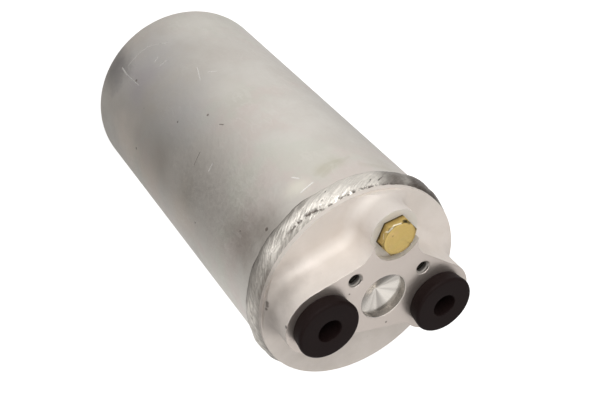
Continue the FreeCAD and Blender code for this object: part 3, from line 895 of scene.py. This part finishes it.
def makeBead(values):
    radius = size["canRadius"]
    seam = size["seamHeight"]
    low = seam - values["reachDown"]
    high = seam + values["reachUp"]
    rows = values["rows"]
    profile = [(radius, low + (high - low) * row / rows) for row in range(rows + 1)]
    inset, drop = values["rootShoulder"]
    profile += [(radius - inset, high - drop), (radius - values["rootDepth"], seam),
                (radius - inset, low + drop)]
    mesh = lathe(profile, values["segments"], closed=True, sectors=values["sectors"])
    ripples = round(2 * math.pi * radius / values["rippleLength"])
    rise = values["rippleRise"]
    start, end = size["foldReach"]
    near, far = values["foldPlace"]
    shallow, varied = values["creaseDepth"]

    def wave(place, scale, shift=(0, 0, 0)):
        return noise.noise(place * scale + Vector(shift))

    for vert in mesh.verts:
        direction = Vector((vert.co.x, vert.co.y, 0))
        if direction.length < radius - inset / 2:    # the root in the groove stays as it is
            continue
        direction.normalize()
        base = direction * radius
        share = (vert.co.z - low) / (high - low)
        wander = wave(base, values["edgeScale"]) * values["edgeWave"]
        wander += (wave(base, values["edgeFineScale"], (3, 1, 2)) * values["edgeWave"]
                   * values["edgeFineWave"])
        across = min(max((base.x - start) / (end - start), 0.0), 1.0)
        fold = near + (far - near) * across
        fold += wave(base, values["foldScale"], (7, 2, 5)) * values["foldWander"]
        place = base + Vector((0, 0, vert.co.z + wander * (1 - share)))
        crown = max(math.sin(math.pi * min(max(share, 0.0), 1.0)), 0.0) ** values["crownPower"]
        turn = math.atan2(direction.y, direction.x) / (2 * math.pi)
        phase = (turn * ripples + values["slant"] * share
                 + wave(place, values["rippleScale"]) * values["rippleDrift"])
        saw = phase - math.floor(phase)
        ripple = saw / rise - 0.5 if saw < rise else 0.5 - (saw - rise) / (1 - rise)
        ripple += wave(place, values["fineScale"]) * values["fineShare"]
        lump = noise.fractal(place * values["lumpScale"], *values["lumpLayers"])
        crease = math.exp(-((share - fold) / values["foldWidth"]) ** 2)
        crease *= shallow + varied * wave(place, values["creaseScale"], (1, 8, 3))
        proud = values["height"] * crown - values["foldHeight"] * max(crease, 0.0)
        proud += (ripple * values["rippleHeight"] + lump * values["lumpHeight"]) * crown
        sink = values["edgeSink"] * share + values["toeSink"] * (1 - crown)
        vert.co = place + direction * (max(proud, 0.0) - sink)
    return finishPiece("weldBead", mesh, weldMetal, ["weld_bead"],
                       sharpAngle=70.0)


makeBead(bead)
print("weld bead made")


# Port caps: thick flange with a rounded front edge and a moulded blind hole

cap = {
    "radius": 0.013,
    "baseRadius": 0.0123,
    "height": 0.0062,
    "edge": 0.0013,
    "foot": 0.0005,
    "flare": 0.0001,
    "holeRadius": 0.00495,
    "holeDepth": 0.011,
    "holeCorner": 0.001,
    "mouth": 0.002,
    "lip": 0.00035,
    "stemRadius": 0.0084,
    "stemLength": 0.0076,
    "segments": 128,
    "roundSteps": 4,
    "edgeSteps": 8,
}


def makeCap(name, node, x, values):
    base = size["padHeight"]
    top = base + values["height"]
    bottom = top - values["holeDepth"]
    stem = base - values["stemLength"]
    edge = values["edge"]
    foot = values["foot"]
    flare = values["flare"]
    hole = values["holeRadius"]
    corner = values["holeCorner"]
    lip = values["lip"]
    steps = values["roundSteps"]
    profile = [(0, bottom)]
    profile += arcPoints((hole - corner, bottom + corner), corner, -90, 0, steps)
    profile += [(hole, top - values["mouth"])]
    profile += arcPoints((hole + lip, top - lip), lip, 180, 90, steps)
    profile += arcPoints((values["radius"] - edge, top - edge), edge, 90, 0, values["edgeSteps"])
    profile += [(values["baseRadius"] + flare, base + foot + flare)]
    profile += arcPoints((values["baseRadius"] - foot, base + foot), foot, 0, -90, steps)
    profile += [(values["stemRadius"], base), (values["stemRadius"], stem), (0, stem)]
    mesh = lathe(profile, values["segments"], (x, size["portY"]))
    return finishPiece(name, mesh, capRubber, [node])


makeCap("inletCap", "inlet_port_cap", -size["portX"], cap)
makeCap("outletCap", "outlet_port_cap", size["portX"], cap)
print("port caps made")


# Screw threads: one ridge wound down each hole

thread = {
    "outer": 0.00302,
    "inner": 0.00248,
    "pitch": 0.001,
    "rootShare": 0.92,
    "crestShare": 0.14,
    "top": 0.1926,
    "length": 0.0128,
    "segments": 40,
}


def makeThread(name, x, values):
    mesh = bmesh.new()
    steps = round(values["length"] / values["pitch"] * values["segments"])
    root = values["rootShare"] * values["pitch"] / 2
    crest = values["crestShare"] * values["pitch"] / 2
    corners = [(values["outer"], root), (values["inner"], crest),
               (values["inner"], -crest), (values["outer"], -root)]
    verts = [mesh.verts.new((x + radius, size["screwY"], values["top"] + rise))
             for radius, rise in corners]
    face = mesh.faces.new(verts)
    bmesh.ops.spin(mesh, geom=[face, *face.edges, *verts], cent=(x, size["screwY"], 0),
                   axis=(0, 0, 1), dvec=(0, 0, -values["pitch"] / values["segments"]),
                   angle=2 * math.pi * steps / values["segments"], steps=steps)
    return finishPiece(name, mesh, inner["threadMetal"], [],
                       sharpAngle=50.0)


makeThread("leftThread", -size["screwX"], thread)
makeThread("rightThread", size["screwX"], thread)
print("threads made")


# Switch port plug: a turned blank with a chamfered face, cut to six flats. A knock is a place
# over the seat, its spread and its depth.

plug = {
    "across": 0.014,
    "height": 0.0039,
    "faceRadius": 0.00685,
    "faceRing": 0.001,
    "chamferSlope": 0.5774,
    "turn": 19,
    "shankRadius": 0.00495,
    "shankLength": 0.0095,
    "shankChamfer": 0.001,
    "segments": 180,
    "edgeSoftness": 0.00022,
    "softAngle": 0.4,
    "softFrom": 0.0002,
    "knocks": [((0.0062, -0.0035, 0.0037), 0.0005, 0.0002),
               ((-0.0058, 0.0040, 0.0036), 0.0006, 0.0002)],
}


def makePlug(values):
    apothem = values["across"] / 2
    face = values["faceRadius"]
    blank = apothem / math.cos(math.pi / 6)
    seat = size["ledgeHeight"]
    high = seat + values["height"]
    shoulder = high - (blank - face) * values["chamferSlope"]
    shank = values["shankRadius"]
    chamfer = values["shankChamfer"]
    foot = seat - values["shankLength"]
    centre = (size["switchX"], size["switchY"])
    profile = [(0, high), (face - values["faceRing"], high), (face, high), (blank, shoulder),
               (blank, seat), (shank, seat), (shank, foot + chamfer), (shank - chamfer, foot),
               (0, foot)]
    mesh = lathe(profile, values["segments"], centre)
    bmesh.ops.remove_doubles(mesh, verts=mesh.verts, dist=mergeGap)
    for step in range(6):
        turn = math.radians(values["turn"] + 30 + 60 * step)
        direction = Vector((math.cos(turn), math.sin(turn), 0))
        flat = Vector((*centre, seat)) + direction * apothem
        bmesh.ops.bisect_plane(mesh, geom=[*mesh.verts, *mesh.edges, *mesh.faces],
                               plane_co=flat, plane_no=direction, clear_outer=True)
        bmesh.ops.holes_fill(mesh, edges=[edge for edge in mesh.edges if edge.is_boundary],
                             sides=0)
    bmesh.ops.recalc_face_normals(mesh, faces=mesh.faces)
    sharp = [edge for edge in mesh.edges
             if edge.is_manifold and edge.calc_face_angle() > values["softAngle"]
             and min(vert.co.z for vert in edge.verts) > seat + values["softFrom"]]
    bmesh.ops.bevel(mesh, geom=sharp, affect="EDGES", offset=values["edgeSoftness"], segments=2,
                    profile=0.5, material=-1, clamp_overlap=True)
    for vert in mesh.verts:
        place = vert.co - Vector((*centre, seat))
        for knock, spread, depth in values["knocks"]:
            near = math.exp(-((place - Vector(knock)).length / spread) ** 2)
            vert.co -= Vector(knock).normalized() * depth * near
    return finishPiece("hexPlug", mesh, plugSteel, ["switch_port_plug"],
                       sharpAngle=22.0)


makePlug(plug)
print("plug made")


# Finishes of the solids that stay

finishes = {
    "header": headerMetal,
    "switch_plug_o_ring": inner["sealRubber"],
    "pickup_tube": inner["tubeMetal"],
    "tube_o_ring": inner["sealRubber"],
    "lower_plate": inner["plateSteel"],
    "upper_plate": inner["plateSteel"],
    "lower_tube_grommet": inner["sealRubber"],
    "upper_tube_grommet": inner["sealRubber"],
    "lower_filter_pad": inner["filterFelt"],
    "upper_filter_pad": inner["filterFelt"],
    "desiccant_bed": inner["desiccantBeads"],
    "compression_spring": inner["springSteel"],
    "strainer_cage": inner["strainerPlastic"],
    "strainer_mesh": inner["strainerWeave"],
    "strainer_cap": inner["strainerPlastic"],
}

for name, material in finishes.items():
    solid = nodes[name]
    for slot in solid.material_slots:
        slot.material = material
print("solids finished:", len(finishes))


# Floor, world and lamps. The shades stand for the dark room that the metal mirrors.

studio = {
    "floorSize": 6.0,
    "floor": colour(0.86, 0.855, 0.85),
    "floorBounce": colour(0.3, 0.297, 0.294),
    "floorSeen": 0.7,
    "floorGlow": 0.72,
    "shades": [((-0.14, -0.02, 0.0), 0.27, 1.0), ((0.15, -0.01, 0.0), 0.17, 0.5)],
    "world": colour(0.3, 0.29, 0.28),
    "worldGlow": 0.58,
    "worldDark": 0.03,
    "darkSide": (0.94, 0.34, 0.0),
    "darkReach": (0.3, 0.95),
    "aim": (0, 0, 0.12),
    "lamps": [
        {"name": "key", "azimuth": 108, "elevation": 27, "distance": 1.1,
         "size": 0.9, "power": 8.2},
        {"name": "top", "azimuth": 320, "elevation": 62, "distance": 1.1,
         "size": 0.9, "power": 1.8},
        {"name": "left", "azimuth": 172, "elevation": 34, "distance": 1.2,
         "size": 0.5, "power": 1.5},
        {"name": "right", "azimuth": 12, "elevation": 32, "distance": 1.2,
         "size": 0.5, "power": 0.9},
    ],
}


def makeFloor(values):
    mesh = bmesh.new()
    bmesh.ops.create_grid(mesh, x_segments=1, y_segments=1, size=values["floorSize"])
    data = bpy.data.meshes.new("floor")
    mesh.to_mesh(data)
    mesh.free()
    material, tree, shader, place = startMaterial("floor")
    glow = values["floorGlow"]
    for shadePlace, radius, amount in values["shades"]:
        gap = addVectorMath(tree, "DISTANCE", place, shadePlace, "Value")
        glow = addMath(tree, "MULTIPLY", glow, addRamp(tree, gap, 0.0, radius, 1 - amount, 1.0))
    path = addNode(tree, "ShaderNodeLightPath").outputs
    mirrored = addMath(tree, "MAXIMUM", path["Is Glossy Ray"], path["Is Transmission Ray"])
    light = addMath(tree, "ADD", addMath(tree, "MULTIPLY", mirrored, glow),
                    addMath(tree, "MULTIPLY", path["Is Camera Ray"], values["floorSeen"]))
    base = addMix(tree, path["Is Camera Ray"], values["floorBounce"], values["floor"])
    setShader(tree, shader, Base_Color=base, Roughness=0.9, Specular_IOR_Level=0.0,
              Emission_Color=colour(1, 1, 1), Emission_Strength=light)
    data.materials.append(material)
    floor = bpy.data.objects.new("floor", data)
    bpy.context.scene.collection.objects.link(floor)


def makeWorld(values):
    world = bpy.data.worlds.new("studio")
    world.use_nodes = True
    tree = world.node_tree
    path = addNode(tree, "ShaderNodeLightPath").outputs
    direction = addNode(tree, "ShaderNodeTexCoord").outputs["Generated"]
    toward = addVectorMath(tree, "DOT_PRODUCT", direction, values["darkSide"], "Value")
    glow = addRamp(tree, toward, *values["darkReach"], values["worldGlow"], values["worldDark"])
    shown = addMix(tree, path["Is Glossy Ray"], values["world"], glow)
    shown = addMix(tree, path["Is Camera Ray"], shown, colour(1, 1, 1))
    tree.links.new(shown, tree.nodes["Background"].inputs["Color"])
    bpy.context.scene.world = world


def makeLamp(values, aim):
    data = bpy.data.lights.new(values["name"], "AREA")
    data.shape = "SQUARE"
    data.size = values["size"]
    data.energy = values["power"]
    lamp = bpy.data.objects.new(values["name"], data)
    bpy.context.scene.collection.objects.link(lamp)
    azimuth = math.radians(values["azimuth"])
    elevation = math.radians(values["elevation"])
    direction = Vector((math.cos(azimuth) * math.cos(elevation),
                        math.sin(azimuth) * math.cos(elevation), math.sin(elevation)))
    lamp.location = Vector(aim) + direction * values["distance"]
    lamp.rotation_euler = direction.to_track_quat("Z", "Y").to_euler()


makeFloor(studio)
makeWorld(studio)
for lamp in studio["lamps"]:
    makeLamp(lamp, studio["aim"])
bpy.context.scene.view_settings.view_transform = "Standard"
print("studio made")
